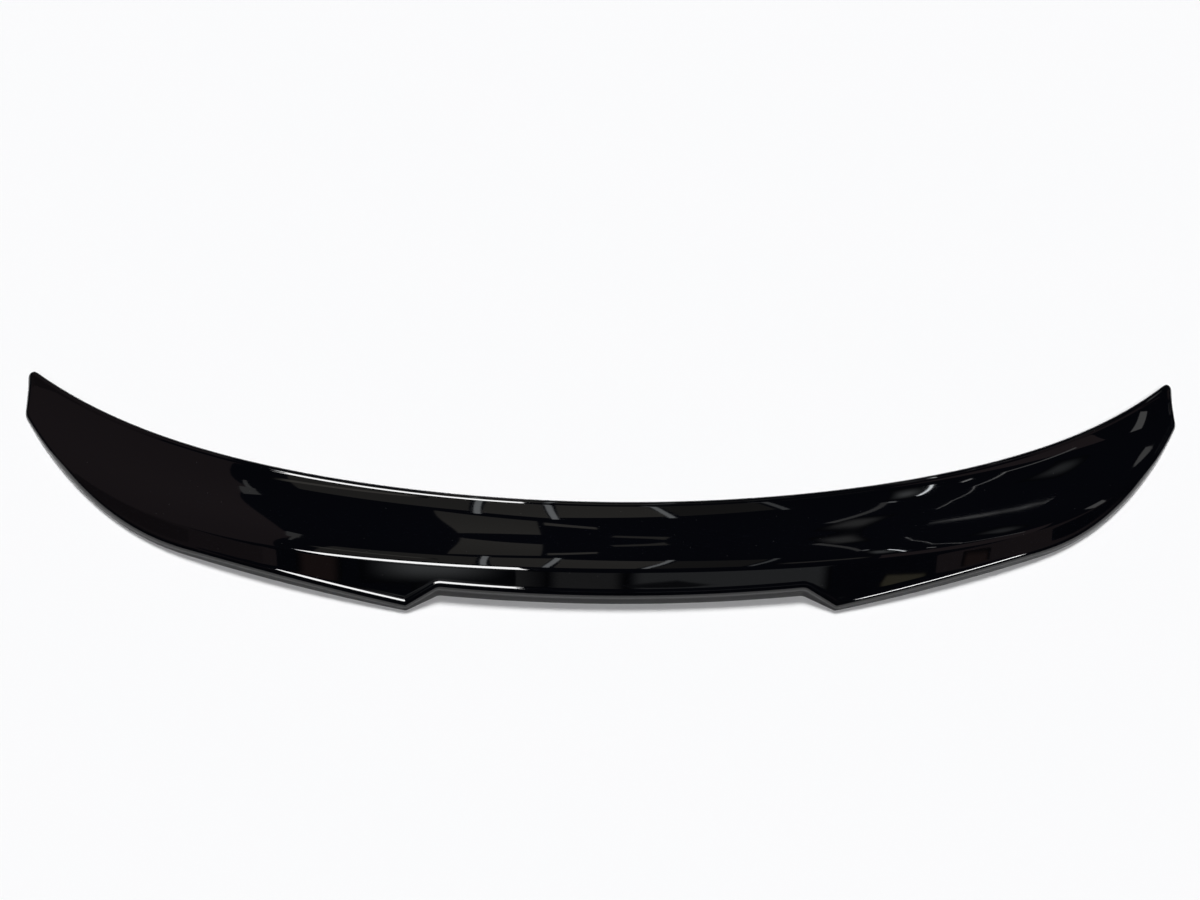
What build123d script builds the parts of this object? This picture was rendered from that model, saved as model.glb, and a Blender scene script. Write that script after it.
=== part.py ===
"""Car rear spoiler: one moulded shell that is stuck along the rear edge of a boot lid.

X runs across the car, Y forwards and Z up, in millimetres. The underside of the hem lies in z = 0.
While it is drawn, y = 0 is the middle of the leading edge. The finished part stands over the middle of its box.
"""

import os
from math import radians, tan

from build123d import *

# Plan
half_width = 630.0  # centre line to the middle of an end
end_lean = 3.0  # how much further out an end lies at the leading edge than at the hem
lead_sweep = 111.0  # forward sweep of the leading edge, even along the width
lead_kick = 44.0  # further forward sweep, gathered at the tips
centre_depth = 112.3  # leading edge to hem on the centre line
notch_half = 187.0  # centre line to an inner corner of the notch
notch_radius = 1900.0  # plan radius of the hem inside the notch
step_run = 32.0  # slanted step of the notch, across
step_drop = 16.6  # slanted step of the notch, rearwards
outer_angle = 12.1  # degrees, hem against X just outside the step
outer_radius = 2080.0  # plan radius of the hem outside the step
bend_x = 440.0  # where the hem starts to turn forward
bend_kick = 93.0  # forward turn of the hem at the ends
bend_power = 2.25
kick_power = 6

# Upper face
lead_height = 11.0  # leading edge on the centre line
tip_lift = 5.0  # rise of the leading edge towards the tips
strip_lean = 0.25  # share by which the strip behind the leading edge leans into the hollow
valley_height = 5.0  # pull of the hollow between leading edge and crest
ramp_rise = 0.73  # pull of the ramp up to the crest, as a share of the crease height
crest_swell = 1.13  # pull of the rounded crest, as a share of the crease height
crease_height = 30.0  # crease on the centre line
crease_fall = 26.5  # drop of the crease towards the ends
fall_power = 3.6
crease_setback = 89.8  # leading edge to crease on the centre line
crease_sweep = 77.0  # forward sweep of the crease, even along the width
crease_kick = 108.0  # further forward sweep, gathered at the ends
facet_angle = 26.6  # degrees, fall of the rear facet behind the crease

# Moulding
skin = 3.2  # thickness of the upper skin, straight down
hem_wall = 3.0  # thickness of the upright hem
land_width = 14.0  # flat foot inside the hem that takes the adhesive tape
land_thickness = 3.0
crease_round = 8.0
edge_round = 3.5
tip_round = 6.0
low_round = 20.0
outer_step_round = 5.0
inner_step_round = 10.0

# Working room around the part
front_run = 8.0  # the upper face is drawn this far ahead of the leading edge,
facet_run = 60.0  # this far behind the crease
side_run = 12.0  # and this far past the ends
floor = -40.0
roof = 60.0
near = 0.1

# Slices of the upper face, closer together where it bends more
slice_shares = [0.14, 0.28, 0.42, 0.55, 0.66, 0.755, 0.835, 0.90, 0.96]
right_slices = [half_width * s for s in slice_shares] + [half_width + side_run]
slices = [-x for x in reversed(right_slices)] + [0] + right_slices


def share(x, power):
    return (abs(x) / half_width) ** power


def lead_y(x):
    return lead_sweep * share(x, 2) + lead_kick * share(x, kick_power)


def lead_z(x):
    return lead_height + tip_lift * share(x, 2)


def crease_y(x):
    return crease_sweep * share(x, 2) + crease_kick * share(x, kick_power) - crease_setback


def crease_z(x):
    return crease_height - crease_fall * share(x, fall_power)


def notch_y(x):
    return x**2 / (2 * notch_radius) - centre_depth


def outer_y(x):
    past_step = x - notch_half - step_run
    corner_y = notch_y(notch_half) - step_drop
    straight = corner_y + past_step * tan(radians(outer_angle))
    turn = max(0.0, (x - bend_x) / (half_width - bend_x)) ** bend_power
    return straight + past_step**2 / (2 * outer_radius) + bend_kick * turn


def upper_pulls(x):
    """Pull points of the upper face: share of the way from leading edge to crease, and height."""
    front, rear = lead_z(x), crease_z(x)
    return [
        (0.00, front),
        (0.20, front - strip_lean * (front - valley_height)),
        (0.40, valley_height),
        (0.60, ramp_rise * rear),
        (0.82, crest_swell * rear),
        (1.00, rear),
    ]


def section(x, drop):
    """Upright slice of the space below the upper face, with that face lowered by drop."""
    front_y, rear_y = lead_y(x) + front_run, crease_y(x)
    pulls = [(x, front_y + way * (rear_y - front_y), z - drop) for way, z in upper_pulls(x)]
    tail_y = rear_y - facet_run
    tail_z = crease_z(x) - facet_run * tan(radians(facet_angle)) - drop
    rest = Polyline(pulls[-1], (x, tail_y, tail_z), (x, tail_y, floor), (x, front_y, floor), pulls[0])
    return Face(Wire([Bezier(*pulls), *rest.edges()]))


def space_below(drop):
    return loft([section(x, drop) for x in slices])


def spread(start, end, steps=10):
    return [start + (end - start) * i / steps for i in range(steps + 1)]


def half_hem(end_x):
    """Edges of the hem in plan from the centre line to end_x."""
    outer_x = notch_half + step_run
    notch = [(x, notch_y(x)) for x in spread(0, notch_half, 2)]
    outer = [(x, outer_y(x)) for x in spread(outer_x, end_x)]
    return [
        Spline(notch, tangents=[(1, 0), (notch_radius, notch_half)]),
        Line(notch[-1], outer[0]),
        Spline(outer),
    ]


def rounded(plan, x, y, radius):
    """The plan with its corners at (x, y) and (-x, y) rounded."""
    corners = [v for v in plan.vertices() if abs(abs(v.X) - x) < near and abs(v.Y - y) < near]
    return plan.fillet_2d(radius, corners)


def both_halves(edges):
    """Face inside the edges of the right half and their mirror image, with the notch rounded."""
    left_edges = [mirror(edge, about=Plane.YZ) for edge in edges]
    plan = Face(Wire.combine(edges + left_edges)[0])
    outer_x = notch_half + step_run
    plan = rounded(plan, notch_half, notch_y(notch_half), inner_step_round)
    return rounded(plan, outer_x, outer_y(outer_x), outer_step_round)


def outline():
    """Plan of the whole spoiler."""
    tip_x, low_x = half_width + end_lean / 2, half_width - end_lean / 2
    tip, low = (tip_x, lead_y(tip_x)), (low_x, outer_y(low_x))
    lead = Spline([(x, lead_y(x)) for x in spread(0, tip_x)])
    plan = both_halves([lead, Line(tip, low), *half_hem(low_x)])
    return rounded(rounded(plan, *tip, tip_round), *low, low_round)


def open_outline():
    """Plan with the same hem that runs out past the ends and the leading edge."""
    end_x = half_width + side_run
    front_y = lead_y(end_x) + front_run
    sides = Polyline((end_x, outer_y(end_x)), (end_x, front_y), (0, front_y))
    return both_halves([*half_hem(end_x), *sides.edges()])


def inset(plan, distance):
    """The plan drawn in by distance, with its curved edges as plain splines."""
    edges = offset(plan, -distance).edges()
    curved = edges.filter_by(GeomType.OFFSET)
    plain = [e for e in edges if e not in curved]
    plain += [Spline([e @ at for at in spread(0, 1, 12)]) for e in curved]
    return Face(Wire.combine(plain)[0])


def raised(plan, bottom):
    return extrude(Pos(0, 0, bottom) * plan, roof - bottom, dir=(0, 0, 1))


def solid_form():
    """The spoiler without its hollow, with the crease and the upper rim rounded."""
    form = space_below(0)
    crease = form.edges().filter_by(lambda e: abs((e @ 0.5).Z - crease_height) < near)
    body = raised(outline(), 0) & fillet(crease, crease_round)
    walls = body.faces().filter_by(lambda f: abs(f.normal_at().Z) < near)
    rim = [e for wall in walls for e in wall.edges() if e.bounding_box().min.Z > near]
    return fillet(rim, edge_round)


def hollow():
    """Space below the skin, open at the leading edge and the ends, narrower beside the land."""
    hem = open_outline()
    above_land = raised(inset(hem, hem_wall), land_thickness)
    beside_land = raised(inset(hem, land_width), floor)
    return (above_land + beside_land) & space_below(skin)


def spoiler():
    body = solid_form() - hollow()
    box = body.bounding_box()
    return Pos(-box.center().X, -box.center().Y, -box.min.Z) * body


os.makedirs("parts", exist_ok=True)
export_step(spoiler(), "parts/spoiler.step")
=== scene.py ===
"""Looks of a car rear spoiler: a gloss black moulded shell on a pale studio floor.

X runs across the car, Y forwards and Z up, in metres. While the shell is drawn, y = 0 is the middle of its
leading edge. The finished mesh is moved along Y into the box of the CAD model.
"""

from math import comb, radians

import bpy
import numpy as np
from mathutils import Matrix, Vector


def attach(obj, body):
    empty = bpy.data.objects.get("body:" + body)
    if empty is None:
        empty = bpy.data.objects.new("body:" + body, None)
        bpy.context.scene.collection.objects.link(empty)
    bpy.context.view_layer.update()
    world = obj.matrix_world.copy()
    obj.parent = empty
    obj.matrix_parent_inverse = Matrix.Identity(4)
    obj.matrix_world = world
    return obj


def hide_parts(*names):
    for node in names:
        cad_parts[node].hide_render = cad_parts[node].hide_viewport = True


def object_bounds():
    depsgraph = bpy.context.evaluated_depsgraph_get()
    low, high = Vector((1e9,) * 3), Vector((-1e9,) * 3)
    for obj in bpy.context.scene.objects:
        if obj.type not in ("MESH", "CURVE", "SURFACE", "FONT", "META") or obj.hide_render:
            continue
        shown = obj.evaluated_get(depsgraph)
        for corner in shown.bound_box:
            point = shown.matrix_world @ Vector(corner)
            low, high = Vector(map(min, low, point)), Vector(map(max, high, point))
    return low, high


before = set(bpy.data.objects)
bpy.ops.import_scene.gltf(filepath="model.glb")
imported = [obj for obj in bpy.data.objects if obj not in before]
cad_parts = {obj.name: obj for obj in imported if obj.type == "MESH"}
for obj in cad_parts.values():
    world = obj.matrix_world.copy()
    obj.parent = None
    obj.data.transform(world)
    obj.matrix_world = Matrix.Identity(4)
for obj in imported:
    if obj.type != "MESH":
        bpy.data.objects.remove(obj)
CAD_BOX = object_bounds()

bl_info = {
    "name": "Car Rear Spoiler",
    "version": (1, 0, 0),
    "blender": (4, 5, 0),
    "location": "View3D > Sidebar > Spoiler",
    "description": "Builds a gloss black boot-lid spoiler and the studio around it",
    "category": "Object",
}

MM = 0.001

# Upper face: powers of its sweeps and falls, where it starts, and its pull points on the way to the crease
SWEEP_POWER = 2
KICK_POWER = 6
FALL_POWER = 3.6
BEND_POWER = 2.25
FRONT_RUN = 8 * MM  # the face is drawn this far ahead of the leading edge
PULL_WAYS = (0.0, 0.2, 0.4, 0.6, 0.82, 1.0)
STRIP_LEAN = 0.25  # share by which the strip behind the leading edge leans into the hollow
RAMP_RISE = 0.73  # pull of the ramp up to the crest, as a share of the crease height
CREST_SWELL = 1.13  # pull of the rounded crest, as a share of the crease height
SOLVE_ROUNDS = 8  # rounds that find the place on the curve for a y

# Plan curves: points along them
CURVE_RUN = 1 * MM  # across the car, from point to point
CURVE_GAP = 0.3 * MM  # least gap between a curve and the arc that it meets
BESIDE = 2 * MM  # how far from a corner the direction of a curve is taken
ARC_POINTS = 9
TIP_POINTS = 15
SLANT_POINTS = 20
TINY = 1e-18  # keeps a side without length from dividing by nought
RISE = 1e-9  # keeps x growing along a curve, so that it can be looked up

# Columns of the net, from the centre line to an end
COLUMN = 3.5 * MM
FINE_COLUMN = 1.2 * MM
STEP_BEFORE, STEP_AFTER = 11 * MM, 9 * MM  # columns are fine from before the notch's step to after it
END_RUN = 18 * MM  # from here on the columns fan out to the end cut
END_COLUMNS = 26

# Rows of the net, from hem to leading edge
RIM_TURN = np.linspace(0, np.pi / 2, 10)
LIP_WAYS = np.arange(1, 7) / 6
FACET_ROWS = 10
CREASE_STEPS = np.linspace(-2, 2, 9)
CREASE_SHARE = 0.18  # step from row to row at the crease, as a share of its rounding
CREASE_ROOM = 3  # steps that the crease keeps clear of the hem's lip
RAMP_ROWS = 36
LEAST_FACET = 1.5 * MM
LEAST_LEAN = 0.4  # flattest angle between a column and an edge that rows are spread for, as a sine

# Underside: rows below the foot, on top of it and on the skin
FOOT_UNDER, FOOT_TOP, SKIN_UNDER = slice(0, 2), slice(2, 4), slice(4, None)
CORNER_ROWS = 7
CORNER_STEPS = np.array([0.1, 0.2]) * MM  # rows beside the corner of hem wall and skin
LEAST_STEP = 0.01 * MM
LEAST_SKIN = 0.4 * MM
LEAST_LIFT = 0.2 * MM  # the skin stays this far above the plane of the foot

# Finish of the mesh
MERGE = 0.004 * MM
SMOOTH_ANGLE = radians(35)

# Paint: its patterns, with scales in repeats per metre
GLOSS_SCALE, GLOSS_DETAIL = 14, 3
RIPPLE_SCALE, RIPPLE_DETAIL = 220, 2
DUST_SCALE = 90
DUST_SIZE = 0.035
DUST = (0.03, 0.03, 0.03)
DULLEST, GLOSSIEST = 1.3, 0.7  # shares of the roughness
CLEAR_COAT_IOR = 1.5

# Studio
CEILING = 2.4
ROOM = 40
DUSK = (0.006, 0.008, 0.018)
SUN_ANGLE = radians(17)
SENSOR = 36
WARM, PLAIN, COOL = (1.0, 0.95, 0.86), (1.0, 1.0, 1.0), (0.93, 0.97, 1.0)
BROWN, RED, KHAKI = (1.0, 0.75, 0.78), (1.0, 0.62, 0.52), (1.0, 0.90, 0.60)

# Soft lamps: where they shine from, level on a white floor
SUNS = (
    ("key", (0.0, 4.4, 9.0), 0.75),
    ("fill", (0.0, -3.6, 9.4), 0.25),
)

# Bright lamps that only the gloss sees: place, what they point at, size, glow
STRIPS = (
    ("overhead", (-0.528, -0.20, CEILING + 10 * MM), (-0.528, -0.20, 0), (0.825, 0.90), 24),
    ("hem_right", (1.72, -1.68, 1.3), (0.27, -0.18, 0), (1.07, 0.25), 45),
)

# Dark panel above the others, and panels below it that only the gloss sees:
# corners in plan, glow, colour, share of the panel over which each edge fades
DARK_HEIGHT = CEILING + 50 * MM
DARK_PANEL = ("dark_ceiling", ((-ROOM, -ROOM), (ROOM, -ROOM), (ROOM, ROOM), (-ROOM, ROOM)), 1, DUSK, 0)
PANELS = (
    ("brown_left_near", ((-3.40, 0.30), (-1.02, 0.30), (-0.81, 2.20), (-3.40, 2.20)), 0.155, BROWN, 0),
    ("brown_left_far", ((-3.40, 2.20), (-0.81, 2.20), (-0.91, 4.60), (-3.40, 4.60)), 0.155, BROWN, 0),
    ("brown_left_low", ((-2.40, -1.90), (-1.57, -1.90), (-1.57, 0.30), (-2.40, 0.30)), 0.115, BROWN, 0),
    ("brown_left_end", ((-7.00, -1.90), (-2.40, -1.90), (-2.40, 0.30), (-7.00, 0.30)), 0.08, BROWN, 0),
    ("brown_left_bar", ((-1.57, -1.90), (-1.46, -1.90), (-1.46, -1.20), (-1.57, -1.20)), 0.15, BROWN, 0),
    ("red_left", ((-1.34, -1.90), (-1.05, -1.90), (-1.00, -1.20), (-1.30, -1.20)), 0.14, RED, 0.25),
    ("curl_top", ((-0.845, 1.60), (-0.835, 1.60), (-0.79, 2.30), (-0.81, 2.30)), 0.60, PLAIN, 0),
    ("curl", ((-0.835, 2.20), (-0.79, 2.20), (-0.775, 2.80), (-0.83, 2.95)), 0.50, PLAIN, 0),
    ("warm_far_left", ((-0.82, 0.50), (-0.24, 0.50), (-0.18, 1.90), (-0.68, 1.55)), 0.26, WARM, 0),
    ("warm_across", ((-0.80, 1.02), (-0.34, 0.92), (-0.34, 1.06), (-0.80, 1.17)), 0.70, WARM, 0.15),
    ("warm_left", ((-0.19, 0.50), (-0.04, 0.50), (0.07, 2.35), (-0.14, 2.00)), 0.36, WARM, 0),
    ("warm_middle", ((0.00, 0.50), (0.24, 0.50), (0.39, 1.92), (0.09, 2.20)), 0.36, WARM, 0),
    ("warm_right", ((0.28, 0.50), (0.56, 0.50), (0.68, 1.60), (0.42, 1.90)), 0.13, WARM, 0),
    ("brown_far_right", ((1.05, 0.34), (1.95, 0.34), (1.95, 0.94), (1.05, 0.80)), 0.20, BROWN, 0),
    ("streak_left", ((-0.225, 0.50), (-0.205, 0.50), (-0.135, 2.20), (-0.155, 2.20)), 2.4, COOL, 0),
    ("streak_middle", ((-0.035, 0.50), (-0.015, 0.50), (0.105, 2.50), (0.085, 2.50)), 2.4, COOL, 0),
    ("streak_right", ((0.255, 0.50), (0.275, 0.50), (0.425, 2.15), (0.405, 2.15)), 2.1, COOL, 0),
    ("streak_far_right", ((0.575, 0.50), (0.595, 0.50), (0.725, 1.70), (0.705, 1.70)), 0.8, COOL, 0),
    ("warm_end", ((0.66, 0.56), (1.02, 0.60), (1.02, 0.78), (0.66, 0.74)), 0.35, WARM, 0.2),
    ("warm_deep", ((-0.27, 2.20), (0.06, 2.95), (0.22, 6.25), (-0.14, 6.30)), 0.30, WARM, 0),
    ("warm_deep_bar", ((0.09, 3.15), (0.30, 3.95), (0.34, 4.50), (0.12, 3.75)), 0.45, WARM, 0),
    ("warm_deep_far", ((0.52, 6.15), (0.78, 6.45), (0.79, 6.80), (0.53, 6.50)), 0.25, WARM, 0),
    ("lamp_haze", ((-0.95, -1.42), (-0.10, -1.42), (-0.10, -0.60), (-0.95, -0.60)), 1.2, COOL, 0.45),
    ("front_left", ((-0.66, -1.75), (-0.04, -1.75), (-0.04, -1.25), (-0.66, -1.25)), 0.20, PLAIN, 0.3),
    ("crease_haze", ((-0.92, -1.53), (-0.20, -1.53), (-0.20, -1.40), (-0.92, -1.40)), 0.75, COOL, 0.45),
    ("front_middle", ((-0.08, -1.75), (0.24, -1.75), (0.24, -1.25), (-0.08, -1.25)), 0.20, PLAIN, 0.2),
    ("front_right", ((0.24, -1.75), (1.13, -1.75), (1.13, -1.25), (0.24, -1.25)), 0.33, COOL, 0.08),
    ("front_gap", ((0.22, -1.530), (0.42, -1.565), (0.64, -1.535), (0.44, -1.512)), 0.04, COOL, 0),
    ("khaki_right", ((1.36, -1.58), (1.70, -1.57), (1.74, -1.50), (1.44, -1.50)), 0.40, KHAKI, 0.1),
    ("brown_right", ((1.80, -1.90), (3.40, -1.90), (3.40, 0.30), (1.80, 0.30)), 0.14, BROWN, 0),
    ("red_right", ((1.98, -1.58), (2.28, -1.58), (2.34, -1.42), (2.04, -1.42)), 0.15, RED, 0.2),
    ("swirl", ((1.10, 3.70), (1.27, 3.70), (1.50, 5.70), (1.30, 5.80)), 0.30, PLAIN, 0.4),
    ("swirl_edge", ((1.00, 1.90), (1.02, 1.90), (1.18, 4.50), (1.14, 4.50)), 0.50, PLAIN, 0),
    ("tube_haze", ((1.00, 0.95), (1.13, 0.95), (1.10, 1.80), (1.00, 1.80)), 0.80, COOL, 0.5),
    ("tube_right", ((1.13, 1.00), (1.142, 1.00), (1.102, 1.65), (1.09, 1.65)), 14.0, COOL, 0),
    ("tube_end", ((1.02, 1.86), (1.045, 1.90), (1.055, 2.05), (1.025, 2.00)), 1.5, COOL, 0),
    ("dash_right", ((1.225, 1.12), (1.265, 1.02), (1.27, 1.06), (1.23, 1.17)), 3.0, PLAIN, 0),
    ("line_1", ((1.367, 3.52), (1.370, 3.52), (1.290, 2.70), (1.287, 2.70)), 2.6, PLAIN, 0),
    ("line_2", ((1.287, 2.70), (1.290, 2.70), (1.265, 1.59), (1.261, 1.59)), 2.6, PLAIN, 0),
    ("line_3", ((1.261, 1.59), (1.266, 1.60), (1.388, 1.065), (1.380, 1.045)), 2.0, PLAIN, 0),
    ("line_4", ((1.380, 1.04), (1.385, 1.07), (1.75, 0.845), (1.75, 0.81)), 1.1, PLAIN, 0),
    ("line_5", ((1.585, 4.60), (1.595, 4.60), (1.659, 3.70), (1.649, 3.70)), 2.6, PLAIN, 0),
    ("line_6", ((1.649, 3.70), (1.659, 3.70), (1.693, 3.25), (1.683, 3.25)), 2.6, PLAIN, 0),
    ("line_7", ((1.683, 3.25), (1.693, 3.25), (1.728, 2.95), (1.718, 2.95)), 2.4, PLAIN, 0),
    ("smudge_right", ((1.40, 1.95), (1.58, 1.15), (1.72, 1.35), (1.56, 2.30)), 0.30, COOL, 0.45),
    ("hook_tip", ((2.15, 1.06), (2.61, 0.47), (2.76, 0.53), (2.31, 1.12)), 1.0, PLAIN, 0),
    ("hook_end", ((2.15, 1.97), (2.22, 1.87), (2.44, 1.82), (2.42, 1.93)), 0.8, PLAIN, 0),
)


class SpoilerForm(bpy.types.PropertyGroup):
    """Sizes of the shell."""

    half_width: bpy.props.FloatProperty(
        name="Half width", description="Centre line to the middle of an end",
        default=630 * MM, unit="LENGTH")
    end_lean: bpy.props.FloatProperty(
        name="End lean", description="How much further out an end lies at the leading edge than at the hem",
        default=3 * MM, unit="LENGTH")
    lead_sweep: bpy.props.FloatProperty(
        name="Lead sweep", description="Forward sweep of the leading edge, even along the width",
        default=111 * MM, unit="LENGTH")
    lead_kick: bpy.props.FloatProperty(
        name="Lead kick", description="Further sweep, gathered at the tips",
        default=44 * MM, unit="LENGTH")
    lead_height: bpy.props.FloatProperty(
        name="Lead height", description="Leading edge on the centre line",
        default=11 * MM, unit="LENGTH")
    tip_lift: bpy.props.FloatProperty(
        name="Tip lift", description="Rise of the leading edge towards the tips",
        default=5 * MM, unit="LENGTH")
    valley_height: bpy.props.FloatProperty(
        name="Valley height", description="Pull of the hollow between leading edge and crest",
        default=5 * MM, unit="LENGTH")
    crease_height: bpy.props.FloatProperty(
        name="Crease height", description="Crease on the centre line",
        default=30 * MM, unit="LENGTH")
    crease_fall: bpy.props.FloatProperty(
        name="Crease fall", description="Drop of the crease towards the ends",
        default=26.5 * MM, unit="LENGTH")
    crease_setback: bpy.props.FloatProperty(
        name="Crease setback", description="Leading edge to crease on the centre line",
        default=89.8 * MM, unit="LENGTH")
    crease_sweep: bpy.props.FloatProperty(
        name="Crease sweep", description="Forward sweep of the crease, even along the width",
        default=77 * MM, unit="LENGTH")
    crease_kick: bpy.props.FloatProperty(
        name="Crease kick", description="Further sweep, gathered at the ends",
        default=108 * MM, unit="LENGTH")
    facet_angle: bpy.props.FloatProperty(
        name="Facet angle", description="Fall of the rear facet behind the crease",
        default=radians(26.6), subtype="ANGLE")
    centre_depth: bpy.props.FloatProperty(
        name="Centre depth", description="Leading edge to hem on the centre line",
        default=112.3 * MM, unit="LENGTH")
    notch_half: bpy.props.FloatProperty(
        name="Notch half", description="Centre line to an inner corner of the notch",
        default=187 * MM, unit="LENGTH")
    notch_radius: bpy.props.FloatProperty(
        name="Notch radius", description="Plan radius of the hem inside the notch",
        default=1.9, unit="LENGTH")
    step_run: bpy.props.FloatProperty(
        name="Step run", description="Slanted step of the notch, across",
        default=32 * MM, unit="LENGTH")
    step_drop: bpy.props.FloatProperty(
        name="Step drop", description="Slanted step of the notch, rearwards",
        default=16.6 * MM, unit="LENGTH")
    outer_angle: bpy.props.FloatProperty(
        name="Outer angle", description="Hem against X just outside the step",
        default=radians(12.1), subtype="ANGLE")
    outer_radius: bpy.props.FloatProperty(
        name="Outer radius", description="Plan radius of the hem outside the step",
        default=2.08, unit="LENGTH")
    bend_start: bpy.props.FloatProperty(
        name="Bend start", description="Where the hem starts to turn forward",
        default=440 * MM, unit="LENGTH")
    bend_kick: bpy.props.FloatProperty(
        name="Bend kick", description="Forward turn of the hem at the ends",
        default=93 * MM, unit="LENGTH")
    skin: bpy.props.FloatProperty(
        name="Skin", description="Thickness of the upper skin",
        default=3.2 * MM, unit="LENGTH")
    hem_wall: bpy.props.FloatProperty(
        name="Hem wall", description="Thickness of the upright hem",
        default=3 * MM, unit="LENGTH")
    land_width: bpy.props.FloatProperty(
        name="Land width", description="Flat foot inside the hem",
        default=14 * MM, unit="LENGTH")
    land_thickness: bpy.props.FloatProperty(
        name="Land thickness", description="Thickness of the flat foot",
        default=3 * MM, unit="LENGTH")
    hem_round: bpy.props.FloatProperty(
        name="Hem round", description="Rounding of the upper rim along the hem",
        default=4 * MM, unit="LENGTH")
    lead_round: bpy.props.FloatProperty(
        name="Lead round", description="Rounding of the upper rim along the leading edge",
        default=5 * MM, unit="LENGTH")
    lip_width: bpy.props.FloatProperty(
        name="Lip width", description="Width of the faint lip inside the rim",
        default=2.6 * MM, unit="LENGTH")
    lead_lip: bpy.props.FloatProperty(
        name="Lead lip", description="Rise of the lip along the leading edge",
        default=0.27 * MM, unit="LENGTH")
    hem_lip: bpy.props.FloatProperty(
        name="Hem lip", description="Rise of the lip along the hem",
        default=0.64 * MM, unit="LENGTH")
    crease_round: bpy.props.FloatProperty(
        name="Crease round", description="Rounding of the crease",
        default=8 * MM, unit="LENGTH")
    tip_round: bpy.props.FloatProperty(
        name="Tip round", description="Plan rounding of a tip",
        default=6 * MM, unit="LENGTH")
    low_round: bpy.props.FloatProperty(
        name="Low round", description="Plan rounding where an end meets the hem",
        default=20 * MM, unit="LENGTH")
    outer_step_round: bpy.props.FloatProperty(
        name="Outer step round", description="Plan rounding of the notch's outer corners",
        default=5 * MM, unit="LENGTH")
    inner_step_round: bpy.props.FloatProperty(
        name="Inner step round", description="Plan rounding of the notch's inner corners",
        default=10 * MM, unit="LENGTH")


class SpoilerFinish(bpy.types.PropertyGroup):
    """Colour and gloss of the paint."""

    paint: bpy.props.FloatVectorProperty(
        name="Paint", description="Black under the clear coat", subtype="COLOR", size=3, min=0, max=1,
        default=(0.0012, 0.0013, 0.0019))
    roughness: bpy.props.FloatProperty(
        name="Roughness", description="Haze of the clear coat",
        default=0.022, min=0, max=1, subtype="FACTOR")
    ripple: bpy.props.FloatProperty(
        name="Ripple", description="Depth of the ripple in the clear coat",
        default=0.0006 * MM, unit="LENGTH")


class SpoilerStudio(bpy.types.PropertyGroup):
    """Floor and camera."""

    floor: bpy.props.FloatVectorProperty(
        name="Floor", description="Colour of the floor and of what lies behind it", subtype="COLOR", size=3,
        min=0, max=1, default=(0.96, 0.96, 0.96))
    camera_place: bpy.props.FloatVectorProperty(
        name="Camera place", description="Where the camera stands", subtype="TRANSLATION", size=3,
        default=(-0.119, -0.65145, 1.3329))
    camera_pitch: bpy.props.FloatProperty(
        name="Camera pitch", description="Look down from level",
        default=radians(62), subtype="ANGLE")
    camera_yaw: bpy.props.FloatProperty(
        name="Camera yaw", description="Turn to the right",
        default=radians(8.15), subtype="ANGLE")
    camera_roll: bpy.props.FloatProperty(
        name="Camera roll", description="Lean to the left",
        default=radians(7.67), subtype="ANGLE")
    camera_lens: bpy.props.FloatProperty(
        name="Camera lens", description="Focal length in millimetres on a 36 mm wide sensor",
        default=42.0)


def deselect():
    """Leave edit mode, with nothing selected."""
    if bpy.context.object and bpy.context.object.mode != "OBJECT":
        bpy.ops.object.mode_set(mode="OBJECT")
    bpy.ops.object.select_all(action="DESELECT")


def share(form, x, power):
    """Share of the half width, raised to a power."""
    return (np.abs(x) / form.half_width) ** power


def lead_y(form, x):
    """Leading edge in plan."""
    return form.lead_sweep * share(form, x, SWEEP_POWER) + form.lead_kick * share(form, x, KICK_POWER)


def lead_z(form, x):
    """Height of the leading edge."""
    return form.lead_height + form.tip_lift * share(form, x, SWEEP_POWER)


def crease_y(form, x):
    """Crease in plan."""
    sweep = form.crease_sweep * share(form, x, SWEEP_POWER)
    return sweep + form.crease_kick * share(form, x, KICK_POWER) - form.crease_setback


def crease_z(form, x):
    """Height of the crease."""
    return form.crease_height - form.crease_fall * share(form, x, FALL_POWER)


def notch_y(form, x):
    """Hem inside the notch, in plan."""
    return x**2 / (2 * form.notch_radius) - form.centre_depth


def outer_y(form, x):
    """Hem outside the notch and its step, in plan."""
    past_step = x - form.notch_half - form.step_run
    corner = notch_y(form, form.notch_half) - form.step_drop
    turn = np.maximum(0, (x - form.bend_start) / (form.half_width - form.bend_start)) ** BEND_POWER
    bow = past_step**2 / (2 * form.outer_radius)
    return corner + past_step * np.tan(form.outer_angle) + bow + form.bend_kick * turn


def bezier(pulls, at):
    """Value of the curve with these pull points, at a share of its run."""
    degree = len(pulls) - 1
    return sum(pull * comb(degree, k) * (1 - at) ** (degree - k) * at**k for k, pull in enumerate(pulls))


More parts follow.
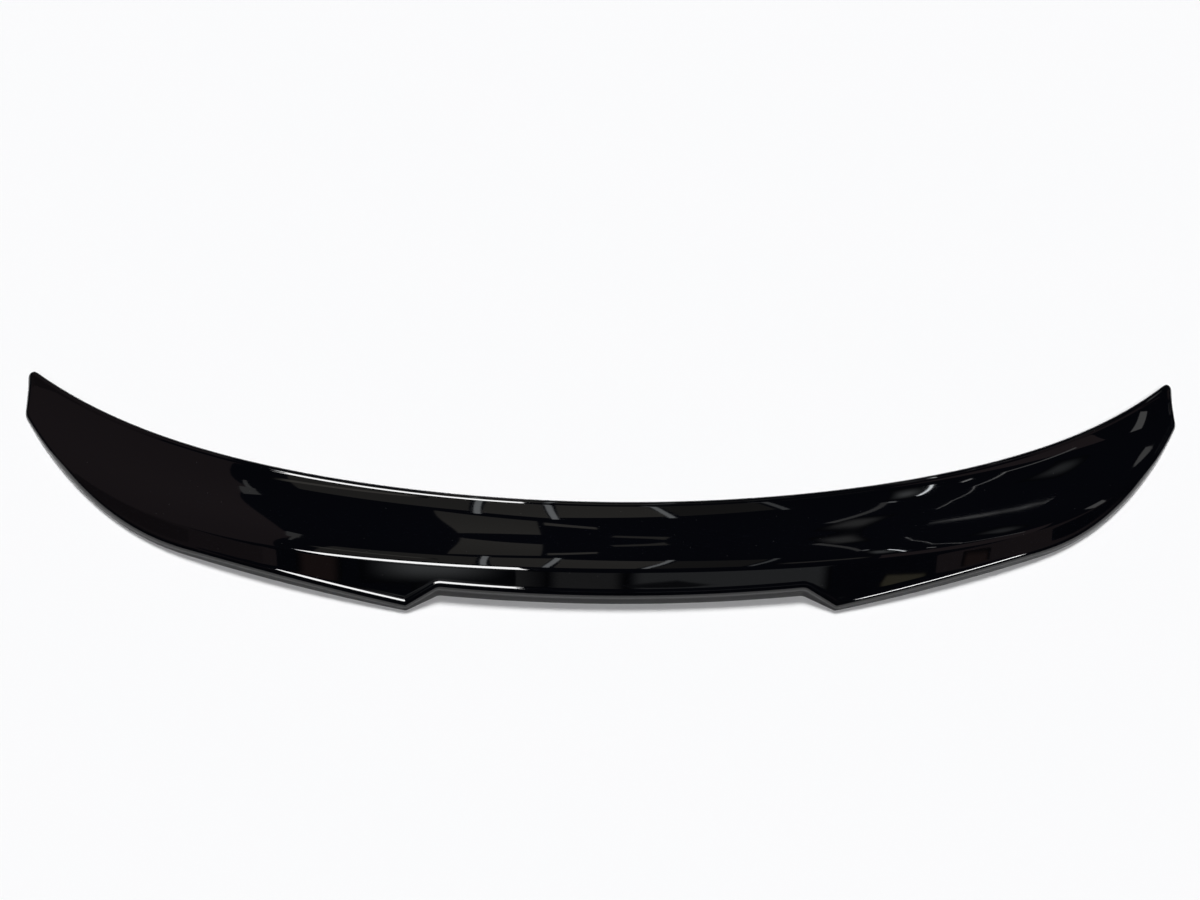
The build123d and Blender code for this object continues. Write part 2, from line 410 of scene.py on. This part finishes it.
def upper_z(form, x, y):
    """Height of the upper face, crease rounded, before its rim is rounded."""
    front_y, rear_y = lead_y(form, x) + FRONT_RUN, crease_y(form, x)
    front_z, rear_z = lead_z(form, x), crease_z(form, x)
    heights = [
        front_z,
        front_z - STRIP_LEAN * (front_z - form.valley_height),
        form.valley_height,
        RAMP_RISE * rear_z,
        CREST_SWELL * rear_z,
        rear_z,
    ]
    degree = len(PULL_WAYS) - 1
    paces = [degree * (PULL_WAYS[k + 1] - PULL_WAYS[k]) for k in range(degree)]
    way = np.clip((front_y - y) / (front_y - rear_y), 0, 1)
    at = way.copy()
    for _ in range(SOLVE_ROUNDS):
        at = np.clip(at - (bezier(PULL_WAYS, at) - way) / bezier(paces, at), 0, 1)
    behind = np.maximum(0, rear_y - y)
    z = bezier(heights, at) - behind * np.tan(form.facet_angle)
    crest_fall = (heights[-2] - heights[-1]) / ((PULL_WAYS[-1] - PULL_WAYS[-2]) * (front_y - rear_y))
    turn = np.tan(form.facet_angle) - crest_fall
    reach = form.crease_round * np.tan((form.facet_angle - np.arctan(crest_fall)) / 2)
    near = np.maximum(0, reach - np.abs(y - rear_y))
    return z - turn * near**2 / (4 * reach)


def rounded_corner(before, corner, after, radius, count=ARC_POINTS):
    """Points of the arc that rounds a corner of a plan."""
    before, corner, after = (np.array(p, float) for p in (before, corner, after))
    to_before = (before - corner) / np.linalg.norm(before - corner)
    to_after = (after - corner) / np.linalg.norm(after - corner)
    half = np.arccos(np.clip(to_before @ to_after, -1, 1)) / 2
    bisector = (to_before + to_after) / np.linalg.norm(to_before + to_after)
    centre = corner + bisector * radius / np.sin(half)
    start = corner + to_before * radius / np.tan(half) - centre
    end = corner + to_after * radius / np.tan(half) - centre
    sweep = np.pi - 2 * half
    return [centre + (np.sin((1 - t) * sweep) * start + np.sin(t * sweep) * end) / np.sin(sweep)
            for t in np.linspace(0, 1, count)]


def joined(points, arc):
    """Points of a curve that run up to an arc, and the arc."""
    kept = [p for p in points if p[0] < arc[0][0] - CURVE_GAP]
    return kept + [tuple(p) for p in arc]


def edge_curves(form):
    """Right half of the leading edge and of the hem in plan, each ending on the straight end cut."""

    def on_lead(x):
        return x, lead_y(form, x)

    def on_notch(x):
        return x, notch_y(form, x)

    def on_outer(x):
        return x, outer_y(form, x)

    tip_x, low_x = form.half_width + form.end_lean / 2, form.half_width - form.end_lean / 2
    inner_x, outer_x = form.notch_half, form.notch_half + form.step_run
    tip, low, inner, outer = on_lead(tip_x), on_outer(low_x), on_notch(inner_x), on_outer(outer_x)
    lead = [on_lead(x) for x in np.arange(0, tip_x, CURVE_RUN)]
    lead = joined(lead, rounded_corner(on_lead(tip_x - BESIDE), tip, low, form.tip_round, TIP_POINTS))
    notch = [on_notch(x) for x in np.arange(0, inner_x, CURVE_RUN)]
    notch = joined(notch, rounded_corner(on_notch(inner_x - BESIDE), inner, outer, form.inner_step_round))
    step = rounded_corner(inner, outer, on_outer(outer_x + BESIDE), form.outer_step_round)
    start, end = np.array(notch[-1]), np.array(step[0])
    slant = [tuple(start + (end - start) * t) for t in np.linspace(0, 1, SLANT_POINTS)[1:-1]]
    hem = [on_outer(x) for x in np.arange(outer_x, low_x, CURVE_RUN) if x > step[-1][0] + CURVE_GAP]
    hem = joined(hem, rounded_corner(on_outer(low_x - BESIDE), low, tip, form.low_round))
    return np.array(lead), np.array(notch + slant + [tuple(p) for p in step] + hem)


def plan_distance(points, outline):
    """Distance of points to a closed polyline."""
    best = np.full(len(points), np.inf)
    for a, b in zip(outline, np.roll(outline, -1, axis=0)):
        side = b - a
        t = np.clip(((points - a) @ side) / max(side @ side, TINY), 0, 1)
        best = np.minimum(best, np.linalg.norm(points - a - t[:, None] * side, axis=1))
    return best


def column_plan(form):
    """Ends of the right half's columns on both edges, the edges' directions there, and the outline."""
    lead, hem = edge_curves(form)
    last_x = form.half_width - END_RUN
    step_start, step_end = form.notch_half - STEP_BEFORE, form.notch_half + form.step_run + STEP_AFTER
    xs = [0.0]
    while xs[-1] < last_x:
        xs.append(xs[-1] + (FINE_COLUMN if step_start <= xs[-1] < step_end else COLUMN))
    xs = np.array(xs) * last_x / xs[-1]
    ends = []
    for curve in (lead, hem):
        run = np.concatenate([[0], np.cumsum(np.linalg.norm(np.diff(curve, axis=0), axis=1))])
        rising = np.maximum.accumulate(curve[:, 0]) + np.arange(len(curve)) * RISE
        at = np.interp(xs, rising, run)
        rest = at[-1] + (run[-1] - at[-1]) * np.linspace(0, 1, END_COLUMNS + 1)[1:]
        at = np.concatenate([at, rest])
        points = np.stack([np.interp(at, run, curve[:, k]) for k in (0, 1)], 1)
        tangents = np.stack([np.interp(at, run, np.gradient(curve[:, k], run)) for k in (0, 1)], 1)
        ends.append((points, tangents / np.linalg.norm(tangents, axis=1)[:, None]))
    outline = np.concatenate([lead, hem[::-1]])
    outline = np.concatenate([outline, outline[::-1] * (-1, 1)])
    return ends[0], ends[1], outline


def rows_of_column(form, front, front_tangent, rear, rear_tangent):
    """Plan points of one column from hem to leading edge, and of the underside below them."""
    line = front - rear
    length = np.linalg.norm(line)
    line = line / length

    def lean(tangent):
        return max(LEAST_LEAN, abs(line[0] * tangent[1] - line[1] * tangent[0]))

    def rim(radius):
        return np.concatenate([radius * (1 - np.cos(RIM_TURN)), radius + form.lip_width * LIP_WAYS])

    hem = rim(form.hem_round) / lean(rear_tangent)
    lead = length - rim(form.lead_round)[::-1] / lean(front_tangent)
    step = form.crease_round * CREASE_SHARE
    crease = (crease_y(form, abs((front[0] + rear[0]) / 2)) - rear[1]) / line[1]
    crease = max(crease, hem[-1] + CREASE_ROOM * step + LEAST_FACET)
    band = crease + step * CREASE_STEPS
    facet = np.linspace(hem[-1], band[0], FACET_ROWS)[1:-1]
    ramp = np.linspace(band[-1], lead[0], RAMP_ROWS)[1:-1]
    upper = np.concatenate([hem, facet, band, ramp, lead])
    wall, land = form.hem_wall / lean(rear_tangent), form.land_width / lean(rear_tangent)
    under = upper.copy()
    under[:CORNER_ROWS] = [0, land, land, wall, wall, *(wall + CORNER_STEPS)]
    least = wall + CORNER_STEPS[-1] + np.arange(len(under) - CORNER_ROWS) * LEAST_STEP
    under[CORNER_ROWS:] = np.maximum(under[CORNER_ROWS:], least)
    under[-1] = length
    return rear + upper[:, None] * line, rear + np.minimum(under, length)[:, None] * line


def dressed_z(form, plan, outline):
    """Height of the upper face at rows of plan points, with its rim rounded and its lips."""
    rows, columns = plan.shape[:2]
    off_edge = plan_distance(plan.reshape(-1, 2), outline).reshape(rows, columns)
    off_edge[0], off_edge[-1], off_edge[:, -1] = 0, 0, 0
    forward = np.linspace(0, 1, rows)[:, None]
    radius = form.hem_round * (1 - forward) + form.lead_round * forward
    short = np.maximum(0, radius - off_edge)
    drop = radius - np.sqrt(np.maximum(0, radius**2 - short**2))
    climb = np.clip((radius + form.lip_width - off_edge) / form.lip_width, 0, 1)
    lip = (form.hem_lip * (1 - forward) + form.lead_lip * forward) * climb**2 * (3 - 2 * climb)
    return upper_z(form, plan[..., 0], plan[..., 1]) + lip - drop


def shell_points(form):
    """Points of the upper face and of the underside, rows by columns, as the shell is drawn."""
    (fronts, front_tangents), (rears, rear_tangents), outline = column_plan(form)
    columns = [rows_of_column(form, *four) for four in zip(fronts, front_tangents, rears, rear_tangents)]
    upper = np.stack([c[0] for c in columns], 1)
    under = np.stack([c[1] for c in columns], 1)
    high = dressed_z(form, upper, outline)
    low = upper_z(form, under[..., 0], under[..., 1]) - form.skin
    low = np.minimum(low, dressed_z(form, under, outline) - LEAST_SKIN)
    low[SKIN_UNDER] = np.maximum(low[SKIN_UNDER], LEAST_LIFT)
    low[FOOT_TOP] = np.minimum(form.land_thickness, low[FOOT_TOP])
    low[FOOT_UNDER] = 0
    upper, under = np.dstack([upper, high]), np.dstack([under, low])
    mirror = np.array([-1, 1, 1])
    return [np.concatenate([side[:, :0:-1] * mirror, side], 1) for side in (upper, under)]


def paint_material(finish):
    """Gloss black paint with a faint ripple, uneven gloss and a little dust."""
    material = bpy.data.materials.new("gloss_black_paint")
    material.use_nodes = True
    nodes, links = material.node_tree.nodes, material.node_tree.links
    shader = nodes["Principled BSDF"]
    shader.inputs["IOR"].default_value = CLEAR_COAT_IOR
    place = nodes.new("ShaderNodeTexCoord")

    def noise(scale, detail):
        node = nodes.new("ShaderNodeTexNoise")
        node.inputs["Scale"].default_value = scale
        node.inputs["Detail"].default_value = detail
        links.new(place.outputs["Object"], node.inputs["Vector"])
        return node.outputs["Fac"]

    dust = nodes.new("ShaderNodeTexVoronoi")
    dust.inputs["Scale"].default_value = DUST_SCALE
    links.new(place.outputs["Object"], dust.inputs["Vector"])
    speck = nodes.new("ShaderNodeMath")
    speck.operation = "LESS_THAN"
    speck.inputs[1].default_value = DUST_SIZE
    links.new(dust.outputs["Distance"], speck.inputs[0])
    colour = nodes.new("ShaderNodeMix")
    colour.data_type = "RGBA"
    colour.inputs["A"].default_value = (*finish.paint, 1)
    colour.inputs["B"].default_value = (*DUST, 1)
    links.new(speck.outputs["Value"], colour.inputs["Factor"])
    links.new(colour.outputs["Result"], shader.inputs["Base Color"])
    gloss = nodes.new("ShaderNodeMapRange")
    gloss.inputs["To Min"].default_value = finish.roughness * GLOSSIEST
    gloss.inputs["To Max"].default_value = finish.roughness * DULLEST
    links.new(noise(GLOSS_SCALE, GLOSS_DETAIL), gloss.inputs["Value"])
    links.new(gloss.outputs["Result"], shader.inputs["Roughness"])
    ripple = nodes.new("ShaderNodeBump")
    ripple.inputs["Strength"].default_value = 1
    ripple.inputs["Distance"].default_value = finish.ripple
    links.new(noise(RIPPLE_SCALE, RIPPLE_DETAIL), ripple.inputs["Height"])
    links.new(ripple.outputs["Normal"], shader.inputs["Normal"])
    return material


class SPOILER_OT_shell(bpy.types.Operator):
    """Shape the shell: upper face, rounded rim, hem, foot and underside"""

    bl_idname = "spoiler.shell"
    bl_label = "Shell"

    def execute(self, context):
        form = context.scene.spoiler_form
        upper, under = shell_points(form)
        rows, columns = upper.shape[:2]
        deselect()
        bpy.ops.mesh.primitive_grid_add(x_subdivisions=columns - 1, y_subdivisions=rows - 1, size=1)
        shell = context.object
        shell.name = shell.data.name = "shell"
        count = len(shell.data.vertices)
        if count != rows * columns:
            raise RuntimeError("the net of the shell has the wrong number of points")
        flat = np.empty(count * 3)
        shell.data.vertices.foreach_get("co", flat)
        flat = flat.reshape(-1, 3)
        column = np.rint((flat[:, 0] + 0.5) * (columns - 1)).astype(int)
        row = np.rint((flat[:, 1] + 0.5) * (rows - 1)).astype(int)
        wall = shell.modifiers.new("wall", "SOLIDIFY")
        wall.thickness = form.skin
        wall.offset = -1
        bpy.ops.object.modifier_apply(modifier=wall.name)
        if len(shell.data.vertices) != 2 * count:
            raise RuntimeError("the wall of the shell has the wrong number of points")
        points = np.concatenate([upper[row, column], under[row, column]])
        drawn = points[:, 1].min(), points[:, 1].max()
        points[:, 1] = np.interp(points[:, 1], drawn, (CAD_BOX[0][1], CAD_BOX[1][1]))
        shell.data.vertices.foreach_set("co", points.ravel())
        shell.data.update()
        bpy.ops.object.mode_set(mode="EDIT")
        bpy.ops.mesh.select_all(action="SELECT")
        bpy.ops.mesh.remove_doubles(threshold=MERGE)
        bpy.ops.object.mode_set(mode="OBJECT")
        bpy.ops.object.shade_smooth_by_angle(angle=SMOOTH_ANGLE)
        shell.data.materials.append(paint_material(context.scene.spoiler_finish))
        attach(shell, "root")
        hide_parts("spoiler")
        return {"FINISHED"}


def sun_lamp(name, place, level):
    """Soft lamp that lights a white floor to a level, evenly all over, and isn't seen in the gloss."""
    deselect()
    bpy.ops.object.light_add(type="SUN", location=place)
    lamp = bpy.context.object
    lamp.name = lamp.data.name = name
    lamp.rotation_euler = (-Vector(place)).to_track_quat("-Z", "Y").to_euler()
    lamp.data.angle = SUN_ANGLE
    lamp.data.energy = level * np.pi / Vector(place).normalized().z
    lamp.visible_glossy = False


def strip_lamp(name, place, target, size, glow):
    """Bright lamp that only the gloss sees."""
    deselect()
    bpy.ops.object.light_add(type="AREA", location=place)
    lamp = bpy.context.object
    lamp.name = lamp.data.name = name
    lamp.rotation_euler = (Vector(target) - Vector(place)).to_track_quat("-Z", "Y").to_euler()
    lamp.data.shape = "RECTANGLE"
    lamp.data.size, lamp.data.size_y = size
    lamp.data.energy = glow * np.pi * size[0] * size[1]
    lamp.visible_camera = lamp.visible_diffuse = False


def faded_glow(nodes, links, glow, fade):
    """Socket with a glow that falls to nothing over a share of the panel along each edge."""
    place, axes = nodes.new("ShaderNodeTexCoord"), nodes.new("ShaderNodeSeparateXYZ")
    links.new(place.outputs["UV"], axes.inputs["Vector"])
    level = None
    for axis in ("X", "Y"):
        for far in (0, 1):
            ramp = nodes.new("ShaderNodeMapRange")
            ramp.interpolation_type = "SMOOTHSTEP"
            ramp.inputs["From Min"].default_value = far
            ramp.inputs["From Max"].default_value = 1 - fade if far else fade
            ramp.inputs["To Max"].default_value = glow if level is None else 1
            links.new(axes.outputs[axis], ramp.inputs["Value"])
            if level is None:
                level = ramp.outputs["Result"]
                continue
            both = nodes.new("ShaderNodeMath")
            both.operation = "MULTIPLY"
            links.new(level, both.inputs[0])
            links.new(ramp.outputs["Result"], both.inputs[1])
            level = both.outputs["Value"]
    return level


def glow_panel(height, name, corners, glow, colour, fade):
    """Level panel that glows, casts no shadow and is seen by the gloss alone."""
    deselect()
    bpy.ops.mesh.primitive_plane_add(size=1)
    panel = bpy.context.object
    panel.name = name
    for vertex, corner in zip((0, 1, 3, 2), corners):
        panel.data.vertices[vertex].co = (*corner, height)
    material = bpy.data.materials.new(name)
    material.use_nodes = True
    nodes, links = material.node_tree.nodes, material.node_tree.links
    nodes.clear()
    emission, output = nodes.new("ShaderNodeEmission"), nodes.new("ShaderNodeOutputMaterial")
    emission.inputs["Color"].default_value = (*colour, 1)
    emission.inputs["Strength"].default_value = glow
    links.new(emission.outputs["Emission"], output.inputs["Surface"])
    if fade:
        links.new(faded_glow(nodes, links, glow, fade), emission.inputs["Strength"])
    panel.data.materials.append(material)
    panel.visible_camera = panel.visible_diffuse = panel.visible_shadow = False


def backdrop(pale):
    """World that camera, gloss and glass see as pale and that hardly lights the object."""
    world = bpy.data.worlds.new("studio")
    world.use_nodes = True
    nodes, links = world.node_tree.nodes, world.node_tree.links
    path, colour = nodes.new("ShaderNodeLightPath"), nodes.new("ShaderNodeMix")
    colour.data_type = "RGBA"
    colour.inputs["A"].default_value = (*DUSK, 1)
    colour.inputs["B"].default_value = (*pale, 1)
    seen = path.outputs["Is Camera Ray"]
    for ray in ("Is Glossy Ray", "Is Transmission Ray"):
        either = nodes.new("ShaderNodeMath")
        either.operation = "MAXIMUM"
        links.new(seen, either.inputs[0])
        links.new(path.outputs[ray], either.inputs[1])
        seen = either.outputs["Value"]
    links.new(seen, colour.inputs["Factor"])
    links.new(colour.outputs["Result"], nodes["Background"].inputs["Color"])
    return world


def pale_floor(pale):
    """Wide matt floor under the spoiler."""
    deselect()
    bpy.ops.mesh.primitive_plane_add(size=2 * ROOM)
    floor = bpy.context.object
    floor.name = "floor"
    material = bpy.data.materials.new("pale_floor")
    material.use_nodes = True
    shader = material.node_tree.nodes["Principled BSDF"]
    shader.inputs["Base Color"].default_value = (*pale, 1)
    shader.inputs["Roughness"].default_value = 1
    shader.inputs["Specular IOR Level"].default_value = 0
    floor.data.materials.append(material)


def studio_camera(studio):
    """Camera at the photograph's viewing angle."""
    bpy.ops.object.camera_add()
    camera = bpy.context.object
    camera.data.lens = studio.camera_lens
    camera.data.sensor_width = SENSOR
    camera.data.clip_start = 10 * MM
    turn = (Matrix.Rotation(-studio.camera_yaw, 3, "Z") @ Matrix.Rotation(-studio.camera_pitch, 3, "X")
            @ Matrix.Rotation(-studio.camera_roll, 3, "Y"))
    right, ahead, up = turn.col
    axes = Matrix((right, up, -ahead)).transposed()
    camera.matrix_world = Matrix.Translation(studio.camera_place) @ axes.to_4x4()
    return camera


class SPOILER_OT_studio(bpy.types.Operator):
    """Set the pale floor, the soft light and the camera"""

    bl_idname = "spoiler.studio"
    bl_label = "Studio"

    def execute(self, context):
        studio = context.scene.spoiler_studio
        pale_floor(studio.floor)
        context.scene.world = backdrop(studio.floor)
        for lamp in SUNS:
            sun_lamp(*lamp)
        for lamp in STRIPS:
            strip_lamp(*lamp)
        glow_panel(DARK_HEIGHT, *DARK_PANEL)
        for number, panel in enumerate(PANELS):
            glow_panel(CEILING - number * MM, *panel)
        context.scene.view_settings.view_transform = "Standard"
        context.scene.camera = studio_camera(studio)
        return {"FINISHED"}


class SPOILER_PT_panel(bpy.types.Panel):
    """Steps that build the spoiler and its studio"""

    bl_idname = "SPOILER_PT_panel"
    bl_label = "Car Rear Spoiler"
    bl_space_type = "VIEW_3D"
    bl_region_type = "UI"
    bl_category = "Spoiler"

    def draw(self, context):
        for step in STEPS:
            self.layout.operator(step.bl_idname)
        for group in GROUPS:
            values = getattr(context.scene, group)
            box = self.layout.box()
            for name in values.__annotations__:
                box.prop(values, name)


GROUPS = {"spoiler_form": SpoilerForm, "spoiler_finish": SpoilerFinish, "spoiler_studio": SpoilerStudio}
STEPS = (SPOILER_OT_shell, SPOILER_OT_studio)
CLASSES = (*GROUPS.values(), *STEPS, SPOILER_PT_panel)


def register():
    for cls in CLASSES:
        bpy.utils.register_class(cls)
    for group, cls in GROUPS.items():
        setattr(bpy.types.Scene, group, bpy.props.PointerProperty(type=cls))


def unregister():
    for group in GROUPS:
        delattr(bpy.types.Scene, group)
    for cls in reversed(CLASSES):
        bpy.utils.unregister_class(cls)


def main():
    register()
    bpy.ops.spoiler.shell()
    bpy.ops.spoiler.studio()


if __name__ == "__main__":
    main()
